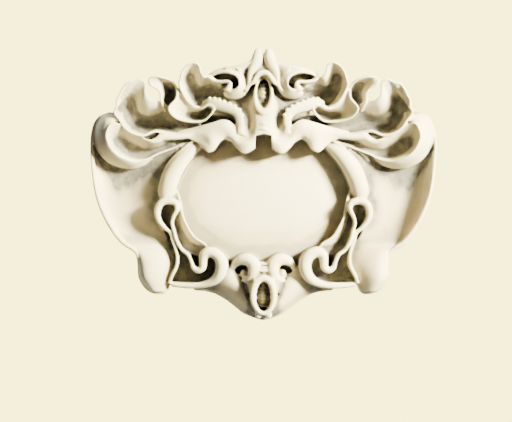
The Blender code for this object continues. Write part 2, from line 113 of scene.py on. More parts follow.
# A rounded ridge along (x, z, crest, half width), standing on the wall; lean lowers one side of it
def carveRidge(carving, points, closed=False, flare=1.25, fullness=1.0, lean=0.0, across=12):
    line = curveThrough(points, closed=closed)
    if closed:
        line.append(line[0])
    last = len(line) - 1

    def place(u, v, w):
        i = round(u * last)
        x, z, crest, half = line[i]
        nx, nz = sideways(line, i, closed)
        turn = math.pi * v
        side = half * math.cos(turn)
        if w < 0:
            spot = onCarving(x + nx * side * flare, z + nz * side * flare, 0)
            spot.y = -block["intoWall"]
            return spot
        spot = onCarving(x + nx * side, z + nz * side, crest)
        spot.y += half * block["unit"] * (fullness * (1 - math.sin(turn)) + lean * (1 - math.cos(turn)))
        return spot

    layOver(carving, last, across, place)


# A round bead along (x, z, depth)
def carveBead(carving, points, radius, sides=10):
    line = curveThrough(points)
    last = len(line) - 1
    bm = bmesh.new()
    bmesh.ops.create_cone(bm, segments=sides, radius1=1, radius2=1, depth=1, cap_ends=True)
    ringEdges = [e for e in bm.edges if abs(e.verts[0].co.z - e.verts[1].co.z) > 0.5]
    bmesh.ops.subdivide_edges(bm, edges=ringEdges, cuts=last - 1)
    for v in bm.verts:
        i = round((v.co.z + 0.5) * last)
        x, z, depth = line[i]
        nx, nz = sideways(line, i, False)
        out = v.co.x * radius
        spot = onCarving(x, z, depth)
        v.co = (spot.x + nx * out, spot.y - v.co.y * radius, spot.z + nz * out)
    addForm(carving, bm)


# A cupped mass between two edges of (x, z, depth), cut back under them
def carveShell(carving, outer, inner, hollow, lowest=0.5, rim=0.0030, flutes=0, fluteDepth=0.0, across=26):
    edgeA, edgeB = curveThrough(outer), curveThrough(inner)
    sinks = curveThrough([(h,) for h in hollow])
    last = len(edgeA) - 1

    def place(u, v, w):
        i = round(u * last)
        (ax, az, ad), (bx, bz, bd), (sink,) = edgeA[i], edgeB[i], sinks[i]
        if w < 0:
            s = 0.5 + (v - 0.5) * (1 - 2 * block["undercut"])
            spot = onCarving(ax + (bx - ax) * s, az + (bz - az) * s, 0)
            spot.y = -block["intoWall"]
            return spot
        bend = 1 - (2 * v ** (math.log(0.5) / math.log(lowest)) - 1) ** 2
        ripple = fluteDepth * u * math.cos(2 * math.pi * flutes * v) * bend if flutes else 0
        depth = ad * (1 - v) + bd * v - sink * bend - ripple
        return onCarving(ax + (bx - ax) * v, az + (bz - az) * v, depth)

    layOver(carving, last, across, place)
    lift = rim / 2 / block["relief"]
    carveBead(carving, [(x, z, d - lift) for x, z, d in list(outer) + list(inner)[::-1]], rim)


# A skin over rows of (x, z, depth), smooth both ways, standing on the wall
def carveSkin(carving, rows):
    swept = [curveThrough(row, perSpan=6) for row in rows]
    skin = list(zip(*[curveThrough(list(column), perSpan=6) for column in zip(*swept)]))
    rowCount, columnCount = len(skin) - 1, len(skin[0]) - 1

    def place(u, v, w):
        x, z, depth = skin[round(v * rowCount)][round(u * columnCount)]
        if w < 0:
            return Vector((x * block["unit"], -block["intoWall"], z * block["unit"]))
        return onCarving(x, z, depth)

    layOver(carving, columnCount, rowCount, place)


# A gaping mouth: its lip goes from the first to the second half width, and sinks towards its top
def carveMouth(carving, middle, half, crest, lip, sink=0, points=14):
    ring = []
    for k in range(points):
        turn = 2 * math.pi * k / points
        low = (0.5 - 0.5 * math.cos(turn)) ** 2
        ring.append((middle[0] + half[0] * math.sin(turn), middle[1] + half[1] * math.cos(turn),
                     crest - sink * (1 - low), lip[0] + (lip[1] - lip[0]) * low))
    carveRidge(carving, ring, closed=True)


# A rounded mass centred on the wall, so that half of it stands out
def carveKnob(carving, middle, crown, half):
    size = Matrix.Diagonal((half[0] * block["unit"], crown * block["relief"], half[1] * block["unit"], 1))
    at = Matrix.Translation((middle[0] * block["unit"], 0, middle[1] * block["unit"]))
    bm = bmesh.new()
    bmesh.ops.create_icosphere(bm, subdivisions=4, radius=1, matrix=at @ size)
    addForm(carving, bm)


# A ball of the given radius whose front just reaches the given depth
def carveBall(carving, x, z, reach, radius):
    size = radius * block["unit"]
    at = onCarving(x, z, reach)
    at.y += size
    bm = bmesh.new()
    bmesh.ops.create_icosphere(bm, subdivisions=3, radius=size, matrix=Matrix.Translation(at))
    addForm(carving, bm)


# A short fold across the axis, with its own height, crest and half width at the ends
def carveFold(carving, z, crest, out, half, endRise, endSink, endHalf):
    end = (z + endRise, crest - endSink, endHalf)
    carveRidge(carving, [(-out, *end), (0.0, z, crest, half), (out, *end)])


carving = bmesh.new()

# The broad wings, dished, with a thick foot like a tongue
wing = {
    "outer": [(44.0, 20.4, 50), (47.6, 18.8, 52), (49.3, 14.5, 54), (49.45, 8.0, 58), (48.65, 1.0, 62),
              (47.2, -5.5, 63), (44.3, -11.8, 62), (40.6, -16.9, 60), (36.7, -19.6, 58),
              (36.0, -23.0, 52), (35.6, -27.4, 48), (32.8, -31.0, 44)],
    "inner": [(37.0, 16.0, 36), (31.0, 12.0, 42), (25.0, 10.6, 52), (25.8, 6.6, 54), (27.8, 1.0, 54),
              (29.6, -4.5, 52), (30.2, -9.8, 48), (28.4, -14.6, 44), (26.1, -18.4, 42),
              (25.0, -22.4, 44), (26.6, -27.0, 46), (28.4, -31.3, 44)],
    "hollow": (6, 12, 20, 27, 31, 31, 26, 14, -8, -20, -24, -12),
    "lowest": 0.34,
}
wingCurl = {    # the wing's top turns over the ear lobe
    "outer": [(40.4, 20.3, 64), (43.6, 20.3, 60), (46.6, 19.2, 56), (48.6, 16.2, 53), (48.9, 12.6, 53),
              (47.5, 9.2, 54), (45.0, 6.4, 53), (41.5, 4.8, 51), (38.0, 4.4, 49), (34.8, 5.2, 46),
              (32.2, 7.0, 44)],
    "inner": [(40.6, 18.6, 68), (42.6, 17.7, 80), (43.9, 16.4, 87), (44.6, 14.4, 90), (44.5, 12.2, 90),
              (43.6, 10.1, 88), (41.8, 8.2, 84), (39.4, 6.9, 78), (36.9, 6.2, 70), (34.6, 6.5, 60),
              (32.4, 7.6, 50)],
    "hollow": (-5, -6, -7, -7, -7, -7, -6, -5, -4, -2, 0),
    "rim": 0.0016,
}
wingRim = [(49.2, 9.0, 57, 0.4), (48.6, 1.0, 64, 0.5), (47.1, -5.5, 66, 0.6), (44.2, -11.8, 66, 0.65),
           (40.6, -16.7, 65, 0.65), (37.0, -19.2, 63, 0.6), (36.0, -21.4, 60, 0.5), (35.8, -24.5, 52, 0.4)]
carveShell(carving, **wing)
carveShell(carving, **wingCurl)
carveRidge(carving, wingRim)
print("wings carved")

# Cupped lobes along the top
lobes = {
    "great": {
        "outer": [(18.0, 17.4, 46), (23.5, 19.6, 50), (27.6, 22.4, 56), (30.4, 23.4, 66), (32.6, 23.9, 74),
                  (33.8, 25.6, 79), (33.9, 28.6, 84), (35.6, 29.6, 86), (37.2, 28.8, 87), (39.0, 28.5, 87),
                  (40.3, 26.8, 86)],
        "inner": [(18.5, 14.6, 52), (25.0, 14.3, 58), (30.8, 14.9, 70), (34.4, 13.7, 76), (37.4, 14.3, 79),
                  (39.6, 15.8, 81), (41.2, 18.2, 82), (42.6, 20.2, 83), (41.9, 21.9, 84), (41.9, 23.6, 85),
                  (41.0, 25.4, 86)],
        "hollow": (14, 32, 44, 52, 54, 50, 42, 30, 18, 8, 2),
        "lowest": 0.68, "flutes": 7, "fluteDepth": 2.2,
    },
    "hooked": {
        "outer": [(28.2, 20.6, 58), (29.4, 23.6, 70), (29.5, 25.8, 76), (30.6, 27.2, 80),
                  (32.1, 27.9, 82), (32.7, 29.1, 82)],
        "inner": [(24.6, 22.0, 48), (24.9, 25.0, 56), (25.0, 27.6, 66), (26.6, 29.5, 76),
                  (30.2, 30.5, 83), (32.3, 30.1, 82)],
        "hollow": (14, 34, 36, 20, 4, 0),
        "lowest": 0.6,
    },
    "crest": {
        "outer": [(5.6, 24.6, 46), (9.5, 25.5, 50), (12.6, 28.6, 64), (15.4, 30.6, 74), (17.0, 30.5, 78),
                  (18.0, 31.9, 82), (18.4, 33.6, 85), (19.9, 34.5, 87), (21.5, 33.8, 87), (22.5, 32.9, 86)],
        "inner": [(6.6, 21.6, 46), (10.5, 22.8, 50), (14.6, 23.9, 58), (18.2, 21.9, 64), (20.8, 22.8, 70),
                  (22.4, 24.6, 76), (23.6, 26.8, 80), (24.1, 28.6, 83), (23.7, 30.0, 85), (23.3, 31.4, 86)],
        "hollow": (0, 10, 32, 44, 46, 42, 32, 20, 9, 2),
        "lowest": 0.6, "flutes": 6, "fluteDepth": 2.0,
    },
    "tongue": {
        "outer": [(24.2, 27.6, 74), (23.6, 25.4, 72), (22.3, 23.4, 68), (20.3, 21.9, 66),
                  (18.2, 21.4, 72), (16.2, 22.3, 78), (14.9, 22.3, 80), (14.2, 21.6, 80)],
        "inner": [(24.7, 26.6, 76), (25.0, 24.2, 78), (27.0, 21.4, 84), (25.2, 18.9, 76),
                  (21.5, 17.8, 68), (17.6, 17.9, 68), (15.2, 19.6, 76), (14.3, 20.9, 79)],
        "hollow": (0, 4, 6, 14, 34, 42, 30, 6),
    },
    "ear": {
        "outer": [(17.5, 14.2, 66), (22.0, 14.1, 64), (26.0, 13.8, 66), (30.0, 12.4, 72),
                  (33.2, 12.4, 74), (36.0, 13.8, 72), (39.8, 16.0, 76), (43.0, 17.2, 88), (44.6, 15.0, 91)],
        "inner": [(18.0, 12.8, 62), (22.0, 11.8, 58), (26.5, 10.0, 56), (30.6, 8.4, 58),
                  (33.6, 6.9, 62), (36.8, 6.5, 68), (40.0, 7.6, 75), (42.8, 9.6, 82), (44.8, 12.6, 90)],
        "hollow": (0, 6, 14, 22, 32, 38, 34, 18, -2),
        "lowest": 0.66, "rim": 0.0024,
    },
}
for form in lobes.values():
    carveShell(carving, **form)
print("lobes carved")

# Strands, rolls and volutes round the field
strands = {
    "innerRoll": [(18.0, 11.6, 60, 1.4), (20.8, 9.8, 66, 2.0), (24.0, 6.2, 70, 2.3),
                  (26.6, 1.8, 72, 2.6), (27.8, -2.2, 70, 2.6), (27.7, -4.4, 64, 2.0), (27.6, -5.4, 56, 1.2)],
    "outerRib": [(27.4, -4.9, 74, 1.0), (29.5, -5.7, 74, 1.0), (30.5, -8.2, 72, 0.9), (29.9, -10.8, 70, 0.7),
                 (28.2, -12.8, 68, 0.55), (26.7, -14.2, 66, 0.5), (26.1, -16.4, 66, 0.45),
                 (25.3, -18.6, 66, 0.45), (24.7, -21.2, 66, 0.45), (25.0, -23.8, 66, 0.45),
                 (26.3, -26.4, 64, 0.45), (27.2, -28.8, 58, 0.45)],
    "rollLip": [(20.0, 12.2, 66, 0.4), (22.0, 10.9, 64, 0.4), (24.4, 8.8, 62, 0.4), (27.0, 6.0, 60, 0.4),
                (28.8, 2.6, 60, 0.4), (29.6, -0.6, 56, 0.4), (29.2, -2.6, 44, 0.4)],
    "volute": [(27.4, -4.9, 74, 1.0), (25.3, -5.6, 74, 0.9), (24.8, -7.4, 74, 0.65), (25.8, -9.5, 72, 0.5),
               (26.3, -11.4, 70, 0.45), (25.7, -13.6, 70, 0.45), (25.1, -16.0, 70, 0.45),
               (23.6, -18.9, 70, 0.45), (21.7, -20.4, 72, 0.5), (20.7, -22.4, 74, 0.5),
               (20.1, -24.1, 76, 0.7), (18.8, -24.9, 78, 0.9), (17.5, -24.1, 80, 1.05),
               (17.3, -22.3, 82, 1.2), (17.0, -20.6, 86, 1.4), (15.5, -19.7, 88, 1.5),
               (13.4, -20.4, 90, 1.6), (12.1, -22.2, 90, 1.75), (12.0, -24.4, 88, 1.7),
               (12.9, -26.6, 84, 1.5), (14.8, -28.2, 76, 1.2), (17.8, -29.2, 68, 0.9),
               (22.0, -29.4, 62, 0.8), (26.5, -29.0, 56, 0.7)],
    "cheekBand": [(16.5, 14.6, 70, 0.9), (20.0, 13.9, 70, 0.8), (25.0, 13.4, 72, 0.9),
                  (28.8, 13.4, 74, 1.1), (30.6, 12.4, 74, 0.9), (32.6, 11.8, 72, 0.5)],
}
innerStrip = {
    "outer": [(27.0, -1.0, 50), (25.8, -5.0, 50), (25.6, -10.5, 36), (24.9, -14.0, 32), (23.0, -18.0, 32),
              (19.5, -20.5, 36)],
    "inner": [(25.6, -0.6, 48), (24.0, -5.0, 56), (23.3, -9.0, 60), (21.9, -12.4, 60), (19.7, -15.6, 58),
              (16.5, -18.0, 56)],
    "hollow": (0, 1, 2, 4, 4, 2),
}
sleeve = {
    "outer": [(11.0, -28.0, 44), (9.8, -23.8, 58), (8.0, -26.2, 62), (6.1, -29.0, 66), (4.6, -32.5, 68),
              (1.8, -36.6, 66)],
    "inner": [(20.0, -30.5, 36), (15.0, -31.2, 36), (11.2, -33.0, 38), (8.2, -35.2, 40), (5.2, -37.4, 44),
              (0.0, -39.05, 50)],
    "hollow": (-8, -14, -16, -16, -12, -6),
}
for line in strands.values():
    carveRidge(carving, line)
carveShell(carving, **innerStrip)
# Stone left standing where two forms would leave a hole: middle, crown and half sizes
fillings = {
    "behindRoll": ((27.4, 9.6), 46, (3.2, 2.6)), "aboveRoll": ((23.8, 10.9), 58, (2.6, 1.7)),
    "earTop": ((42.0, 18.0), 80, (1.9, 1.6)), "scrollFloor": ((12.0, 28.1), 60, (3.6, 2.4)),
    "scrollBack": ((10.4, 30.2), 54, (4.6, 2.2)), "slitFloor": ((32.6, 13.2), 52, (5.0, 2.4)),
}
for middle, crown, half in fillings.values():
    carveKnob(carving, middle, crown, half)
carveShell(carving, **sleeve)
print("strands and volutes carved")

# The upper mask with its horns and scrolls
face = [    # from the throat down to the top of the notch, from the axis outwards
    [(0, 28.6, 40), (2.4, 28.6, 46), (4.2, 27.6, 50), (6.5, 26.2, 46), (9.5, 25.2, 42), (13.5, 24.9, 42)],
    [(0, 24.6, 50), (2.6, 24.4, 74), (4.4, 24.0, 64), (6.8, 23.6, 52), (9.6, 23.4, 54), (13.6, 23.9, 60)],
    [(0, 21.4, 80), (2.5, 21.4, 84), (4.4, 21.2, 72), (6.4, 20.8, 68), (9.2, 21.8, 74), (13.4, 23.0, 74)],
    [(0, 18.8, 91), (2.3, 18.7, 87), (4.1, 18.4, 74), (5.8, 18.5, 78), (7.0, 18.9, 84), (9.0, 20.4, 84)],
    [(0, 16.4, 94), (2.2, 16.3, 90), (4.0, 16.0, 76), (5.4, 15.8, 80), (6.3, 15.9, 86), (7.4, 16.2, 86)],
    [(0, 14.1, 92), (2.2, 13.6, 91), (4.0, 13.4, 83), (5.4, 13.6, 83), (6.4, 13.9, 84), (7.6, 14.2, 84)],
]
cheek = [   # from the corner of the notch out along the jaw, from the eyelid down to the lips
    [(2.3, 15.6, 88), (4.6, 15.2, 77), (6.8, 15.3, 80), (8.4, 16.8, 82), (10.0, 17.9, 83), (11.8, 18.2, 82),
     (13.8, 17.7, 79), (16.4, 17.0, 73), (19.6, 16.2, 62), (24.5, 15.1, 52)],
    [(2.3, 13.9, 91), (4.6, 13.4, 82), (7.0, 13.9, 80), (9.0, 15.2, 85), (11.0, 16.2, 87), (13.0, 16.1, 84),
     (15.4, 15.4, 80), (17.8, 15.0, 74), (20.4, 14.8, 67), (25.0, 14.3, 60)],
    [(2.3, 11.9, 91), (4.7, 11.2, 92), (7.3, 11.9, 86), (9.2, 13.2, 83), (11.0, 13.9, 82), (12.9, 13.2, 82),
     (15.1, 12.6, 84), (17.6, 13.5, 76), (20.6, 13.7, 69), (25.4, 13.8, 66)],
    [(2.4, 10.0, 86), (5.3, 8.5, 86), (7.7, 10.2, 82), (8.9, 11.7, 76), (10.8, 12.6, 72), (12.4, 11.9, 75),
     (14.0, 9.7, 78), (15.7, 8.9, 78), (17.4, 10.2, 72), (19.4, 12.4, 66)],
]
upperMask = {
    "hood": [(5.4, 26.4, 84, 0.5), (4.2, 28.0, 88, 0.5), (3.0, 28.9, 92, 0.5), (2.2, 30.2, 94, 0.6),
             (1.2, 31.3, 95, 0.7), (0.0, 31.7, 95, 0.75)],
    "crestScroll": [(15.6, 30.9, 74, 0.5), (13.2, 32.1, 80, 0.75), (10.4, 32.5, 87, 0.95),
                    (7.6, 31.8, 93, 1.2), (5.9, 30.1, 97, 1.4), (5.6, 27.9, 98, 1.5), (6.6, 26.2, 96, 1.5),
                    (8.4, 25.5, 92, 1.4), (10.1, 25.7, 88, 1.2), (11.0, 26.5, 84, 0.9)],
    "crestHook": [(10.4, 26.4, 87, 1.2), (9.9, 27.4, 88, 0.9), (9.5, 28.4, 88, 0.55), (10.3, 29.1, 86, 0.42),
                  (12.4, 29.1, 82, 0.4), (14.4, 29.4, 79, 0.4), (15.8, 30.5, 76, 0.4)],
    "horn": [(1.5, 38.7, 74, 0.5), (1.5, 38.1, 79, 1.05), (1.6, 36.8, 83, 1.45), (1.9, 35.2, 86, 1.55),
             (2.6, 33.5, 88, 1.4), (3.5, 31.8, 90, 1.0), (4.0, 30.0, 90, 0.6), (4.2, 28.2, 88, 0.45),
             (4.9, 26.6, 84, 0.4)],
    "hornWeb": [(1.9, 36.2, 80, 0.9), (3.2, 34.8, 82, 0.8), (5.2, 33.8, 83, 0.7), (8.0, 33.2, 83, 0.6),
                (11.0, 32.8, 80, 0.5)],
    "browUnder": [(15.0, 20.4, 66, 0.8), (12.0, 20.2, 70, 1.0), (9.6, 19.6, 72, 1.0), (8.0, 18.6, 70, 0.8)],
    "brow": [(17.4, 22.9, 68, 0.5), (16.0, 23.2, 74, 1.0), (14.2, 22.8, 79, 1.5), (12.0, 22.1, 83, 1.45),
             (9.6, 21.3, 86, 1.3), (7.7, 20.1, 88, 1.25), (6.9, 18.4, 89, 1.1), (7.0, 16.6, 86, 1.0),
             (7.6, 15.3, 77, 0.6)],
}
sections = {"brow": {"fullness": 0.45, "lean": -0.25}, "crestScroll": {"fullness": 0.35, "lean": 1.1},
            "horn": {"fullness": 0.8}, "hood": {"fullness": 0.8}}
carveSkin(carving, face)
carveSkin(carving, cheek)
for name, line in upperMask.items():
    carveRidge(carving, line, **sections.get(name, {}))
hornSkin = [
    [(0.0, 36.8, 74), (1.8, 36.4, 82), (3.3, 35.0, 82), (5.2, 34.0, 82), (8.6, 33.3, 82)],
    [(0.0, 34.4, 74), (2.0, 34.0, 84), (3.6, 33.1, 78), (5.2, 32.8, 80), (7.4, 32.4, 84)],
    [(0.0, 31.6, 82), (2.2, 30.8, 74), (3.4, 30.4, 64), (4.2, 30.2, 68), (5.4, 30.2, 82)],
]
carveSkin(carving, hornSkin)
eyeFloor = {"middle": (11.0, 19.2), "crown": 60, "half": (5.0, 2.4)}
carveKnob(carving, **eyeFloor)
browTufts = {"first": 10, "last": 50, "every": 5, "out": 0.98, "radius": 0.58, "rise": 3.4}


# Tufts of hair scallop the upper edge of the brow
def carveTufts(carving, points, look):
    line = curveThrough(points)
    for i in range(look["first"], look["last"], look["every"]):
        x, z, crest, half = line[i]
        nx, nz = sideways(line, i, False)
        out = half * look["out"]
        carveBall(carving, x - nx * out, z - nz * out, crest + look["rise"], look["radius"])


carveTufts(carving, upperMask["brow"], browTufts)
noseFolds = [(17.0, 96.0), (15.5, 97.0)]    # height and crest
foldShape = {"out": 1.9, "half": 0.45, "endRise": -0.3, "endSink": 6, "endHalf": 0.3}
for z, crest in noseFolds:
    carveFold(carving, z, crest, **foldShape)
throat = {"middle": (0.0, 25.2), "half": (2.4, 5.0), "crest": 94, "lip": (0.3, 1.25), "sink": 14}
carveMouth(carving, **throat)
throatTongue = {"crest": 70, "from": 21.8, "to": 28.8, "ribs": 6, "half": 1.5, "rib": 0.42}
tongueShape = {
    "tipSink": 16, "tipShare": 0.6,     # the tips are lower and narrower than the middle
    "shoulderSink": 4, "fullness": 0.5,
    "ribRise": 5, "ribFall": 8,         # ribs stand highest in the middle
    "ribShare": 0.6, "ribGain": 0.3,    # and are widest there
    "ribBow": 0.15, "ribSink": 6,
}


# A tongue, ribbed across
def carveTongue(carving, look, shape):
    low, high, half, crest = look["from"], look["to"], look["half"], look["crest"]
    middle = (low + high) / 2
    tip, shoulder = crest - shape["tipSink"], crest - shape["shoulderSink"]
    narrow = half * shape["tipShare"]
    line = [(0.0, low, tip, narrow), (0.0, low + half, shoulder, half), (0.0, middle, crest, half),
            (0.0, high - half, shoulder, half), (0.0, high, tip, narrow)]
    carveRidge(carving, line, fullness=shape["fullness"])
    for k in range(look["ribs"]):
        z = low + (high - low) * (k + 0.5) / look["ribs"]
        arch = 1 - ((z - middle) / (high - low) * 2) ** 2
        top = crest + shape["ribRise"] - shape["ribFall"] * (1 - arch)
        side = half * (shape["ribShare"] + shape["ribGain"] * arch)
        carveFold(carving, z, top, side, look["rib"], shape["ribBow"], shape["ribSink"], look["rib"])


carveTongue(carving, throatTongue, tongueShape)
print("upper mask carved")

# The small gaping mask at the foot
footMask = {
    "brow": [(8.6, -24.6, 62, 0.6), (8.1, -23.2, 72, 1.0), (6.6, -22.0, 81, 1.5), (4.6, -21.8, 86, 1.75),
             (3.0, -23.0, 88, 1.9), (2.6, -25.0, 89, 1.8), (3.4, -26.9, 87, 1.4), (4.8, -27.7, 82, 0.9),
             (6.0, -27.3, 74, 0.6)],
    "bridge": [(0.0, -22.4, 72, 1.2), (0.0, -25.0, 80, 1.4), (0.0, -27.0, 88, 1.6)],
    "wrinkleA": [(-1.5, -22.9, 80, 0.22), (0.0, -23.1, 82, 0.3), (1.5, -22.9, 80, 0.22)],
    "wrinkleB": [(-1.7, -23.9, 83, 0.22), (0.0, -24.1, 85, 0.3), (1.7, -23.9, 83, 0.22)],
    "wrinkleC": [(-1.7, -24.9, 86, 0.22), (0.0, -25.1, 87, 0.3), (1.7, -24.9, 86, 0.22)],
}
footCheek = [
    [(2.0, -26.0, 84), (4.6, -26.8, 78), (7.0, -25.9, 60), (8.4, -25.2, 54)],
    [(2.6, -28.2, 88), (4.2, -28.4, 80), (5.6, -28.0, 66), (6.9, -27.5, 56)],
    [(3.0, -31.4, 88), (4.0, -31.4, 78), (4.7, -31.2, 68), (5.2, -31.0, 60)],
]
carveSkin(carving, footCheek)
for line in footMask.values():
    carveRidge(carving, line)
gape = {"middle": (0.0, -32.1), "half": (3.05, 5.0), "crest": 99.6, "lip": (0.95, 0.6)}
carveMouth(carving, **gape)
footTongue = {"crest": 74, "from": -35.8, "to": -28.4, "ribs": 7, "half": 1.75, "rib": 0.36}
carveTongue(carving, footTongue, tongueShape)
footBalls = {"chin": (1.45, -37.6, 95, 1.05), "lipCorner": (2.3, -27.9, 98, 1.05),
             "eye": (5.3, -25.9, 68, 1.3)}
for x, z, reach, radius in footBalls.values():
    carveBall(carving, x, z, reach, radius)
teeth = {"places": [(1.9, -29.4), (2.25, -31.0), (2.25, -32.6)], "reach": 90, "radius": 0.5}
for x, z in teeth["places"]:
    carveBall(carving, x, z, teeth["reach"], teeth["radius"])
print("foot mask carved")

# The plate behind and the domed field
plate = [(0.0, 36.6), (1.6, 36.4), (3.0, 33.4), (7.0, 32.4), (12.0, 31.4), (15.6, 29.6), (17.6, 30.4),
         (19.0, 32.6), (21.2, 31.6), (22.2, 28.2), (24.6, 26.6), (26.8, 28.4), (28.2, 27.6), (28.0, 24.0),
         (29.6, 22.8), (32.2, 22.8), (34.8, 24.6), (35.4, 27.4), (37.6, 26.8), (39.2, 24.2), (39.8, 20.6),
         (43.0, 19.0), (46.2, 17.4), (47.6, 13.0), (47.4, 6.0), (45.8, 0.0), (43.6, -6.0), (40.6, -12.0),
         (37.2, -16.4), (33.6, -18.8), (33.0, -24.0), (31.6, -28.4), (28.8, -29.6), (24.0, -28.8),
         (17.0, -29.4), (12.0, -30.8), (8.0, -33.8), (4.0, -37.2), (0.0, -38.0)]
field = {"middle": (0.0, -5.2), "half": (31.0, 24.0), "crown": 47.0}


def carvePlate(carving, outline):
    line = curveThrough(outline, perSpan=3)
    bm = bmesh.new()
    bmesh.ops.create_circle(bm, cap_ends=True, segments=len(line), radius=1)
    for v, (x, z) in zip(bm.verts, line):
        v.co = (x * block["unit"], -block["intoWall"], z * block["unit"])
    front = bmesh.ops.extrude_face_region(bm, geom=bm.faces[:])
    raised = [g for g in front["geom"] if isinstance(g, bmesh.types.BMVert)]
    bmesh.ops.translate(bm, verts=raised, vec=(0, block["intoWall"] - block["ground"], 0))
    addForm(carving, bm)


carvePlate(carving, plate)
carveKnob(carving, field["middle"], field["crown"], field["half"])


# What the modifiers do becomes the mesh itself
def settle(stone):
    before = stone.data
    graph = bpy.context.evaluated_depsgraph_get()
    after = bpy.data.meshes.new_from_object(stone.evaluated_get(graph))
    stone.modifiers.clear()
    stone.data = after
    bpy.data.meshes.remove(before)


# Both halves are fused into one block
def fuse(carving):
    mesh = bpy.data.meshes.new("stoneBlock")
    carving.to_mesh(mesh)
    carving.free()
    stone = bpy.data.objects.new("stoneBlock", mesh)
    bpy.context.scene.collection.objects.link(stone)
    mirror = stone.modifiers.new("otherHalf", "MIRROR")
    mirror.use_mirror_merge = False
    remesh = stone.modifiers.new("fused", "REMESH")
    remesh.mode = "VOXEL"
    remesh.voxel_size = block["grain"]
    soften = stone.modifiers.new("worn", "SMOOTH")
    soften.factor = block["soften"]
    soften.iterations = block["softenings"]
    settle(stone)
    print("fused", len(stone.data.polygons), "faces")
    return stone


# The back is sawn flat, to lie on the wall
def sawBack(stone):
    bm = bmesh.new()
    bm.from_mesh(stone.data)
    everything = bm.verts[:] + bm.edges[:] + bm.faces[:]
    cut = bmesh.ops.bisect_plane(bm, geom=everything, plane_co=(0, block["back"], 0), plane_no=(0, 1, 0),
                                 clear_outer=True)
    rim = [g for g in cut["geom_cut"] if isinstance(g, bmesh.types.BMEdge)]
    bmesh.ops.holes_fill(bm, edges=rim, sides=0)
    bmesh.ops.triangulate(bm, faces=bm.faces[:])
    bm.to_mesh(stone.data)
    bm.free()


def thinOut(stone):
    thin = stone.modifiers.new("thinned", "DECIMATE")
    thin.ratio = min(1.0, block["triangles"] / len(stone.data.polygons))
    settle(stone)


stone = fuse(carving)
sawBack(stone)
thinOut(stone)
print("back sawn,", len(stone.data.polygons), "triangles")

# Soot and painted shade gather where a point lies below the carving round it, measured on a grid of square
# cells
hollowsForSootAndShade = {
    "cell": 0.002,
    "reach": {"fineHollow": 3, "broadHollow": 9, "wideHollow": 20},     # in cells
    "margin": 0.09,             # empty ground kept round the carving
    "bare": 0.0005,             # a cell lower than this holds no stone
    "closings": 3,              # rounds of filling the cells that no point fell in
    "leastStone": 0.8,          # the least share of stone round a cell that is reckoned with
    "steepest": (-1.5, 2.5),    # the least and the most hollowness given
    "edgeReach": 3, "edgeFrom": 0.84, "edgeOver": 0.11,     # the outer sides get no soot or painted shade
    "fieldSkin": 0.0015,        # how near to its dome a point counts as the field
    "spread": 10,               # rounds of evening out along the edges of the mesh
}


def pointsOf(mesh):
    co = np.empty(len(mesh.vertices) * 3)
    mesh.vertices.foreach_get("co", co)
    return co.reshape(-1, 3)


# Each cell becomes the mean of those round it, in a few passes each way
def blurred(heights, radius, passes=3):
    for axis in (0, 1):
        for _ in range(passes):
            rim = [(radius + 1, radius) if a == axis else (0, 0) for a in (0, 1)]
            total = np.cumsum(np.pad(heights, rim, mode="edge"), axis=axis)
            n = heights.shape[axis]
            upper = np.take(total, range(2 * radius + 1, 2 * radius + 1 + n), axis=axis)
            lower = np.take(total, range(0, n), axis=axis)
            heights = (upper - lower) / (2 * radius + 1)
    return heights


# How far each point lies below its surroundings, for each reach, as a share of that reach
def hollowness(points, look):
    cell = look["cell"]
    low = points.min(axis=0) - look["margin"]
    spare = round(look["margin"] / cell)
    cols = ((points[:, 0] - low[0]) / cell).astype(int)
    rows = ((points[:, 2] - low[2]) / cell).astype(int)
    own = -points[:, 1]
    height = np.zeros((cols.max() + spare, rows.max() + spare))
    np.maximum.at(height, (cols, rows), own)
    for _ in range(look["closings"]):
        near = np.maximum.reduce([np.roll(height, s, axis=a) for a in (0, 1) for s in (-1, 1)])
        height = np.where(height <= look["bare"], near, height)
    inside = (height > look["bare"]).astype(float)
    stoneNear = blurred(inside, look["edgeReach"])[cols, rows]
    offEdge = np.clip((stoneNear - look["edgeFrom"]) / look["edgeOver"], 0, 1)
    found = {}
    for name, radius in look["reach"].items():
        stoneShare = np.maximum(blurred(inside, radius), look["leastStone"])
        around = (blurred(height * inside, radius) / stoneShare)[cols, rows]
        depth = np.clip((around - own) / (radius * cell), *look["steepest"])
        found[name] = np.where(depth > 0, depth * offEdge, depth)
    return found


# 1 on the face of the field, where little soot and painted shade is left
def fieldShare(points, look):
    across = (points[:, 0] / block["unit"] - field["middle"][0]) / field["half"][0]
    up = (points[:, 2] / block["unit"] - field["middle"][1]) / field["half"][1]
    dome = field["crown"] * block["relief"] * np.sqrt(np.clip(1 - across**2 - up**2, 0, 1))
    return np.clip(1.5 - np.abs(-points[:, 1] - dome) / look["fieldSkin"], 0, 1)


# Each point's value becomes the mean of its own and its neighbours'
def spreadAlongEdges(mesh, values, times):
    ends = np.empty(len(mesh.edges) * 2, dtype=np.int64)
    mesh.edges.foreach_get("vertices", ends)
    first, second = ends[0::2], ends[1::2]
    count = np.bincount(ends, minlength=len(values)) + 1.0
    for _ in range(times):
        fromSecond = np.bincount(first, values[second], len(values))
        fromFirst = np.bincount(second, values[first], len(values))
        values = (values + fromSecond + fromFirst) / count
    return values


# the hollowness and the field share drive the soot and painted shade of the stone
def measureHollows(mesh, look):
    points = pointsOf(mesh)
    measured = {**hollowness(points, look), "fieldFace": fieldShare(points, look)}
    offBack = points[:, 1] < -look["bare"]
    for name, values in measured.items():
        layer = mesh.attributes.new(name, "FLOAT", "POINT")
        values = spreadAlongEdges(mesh, values, look["spread"]) * offBack
        layer.data.foreach_set("value", values.astype(np.float32))


measureHollows(stone.data, hollowsForSootAndShade)
for polygon in stone.data.polygons:
    polygon.use_smooth = polygon.normal.y < 0.99    # the sawn back stays flat
print("hollows measured")
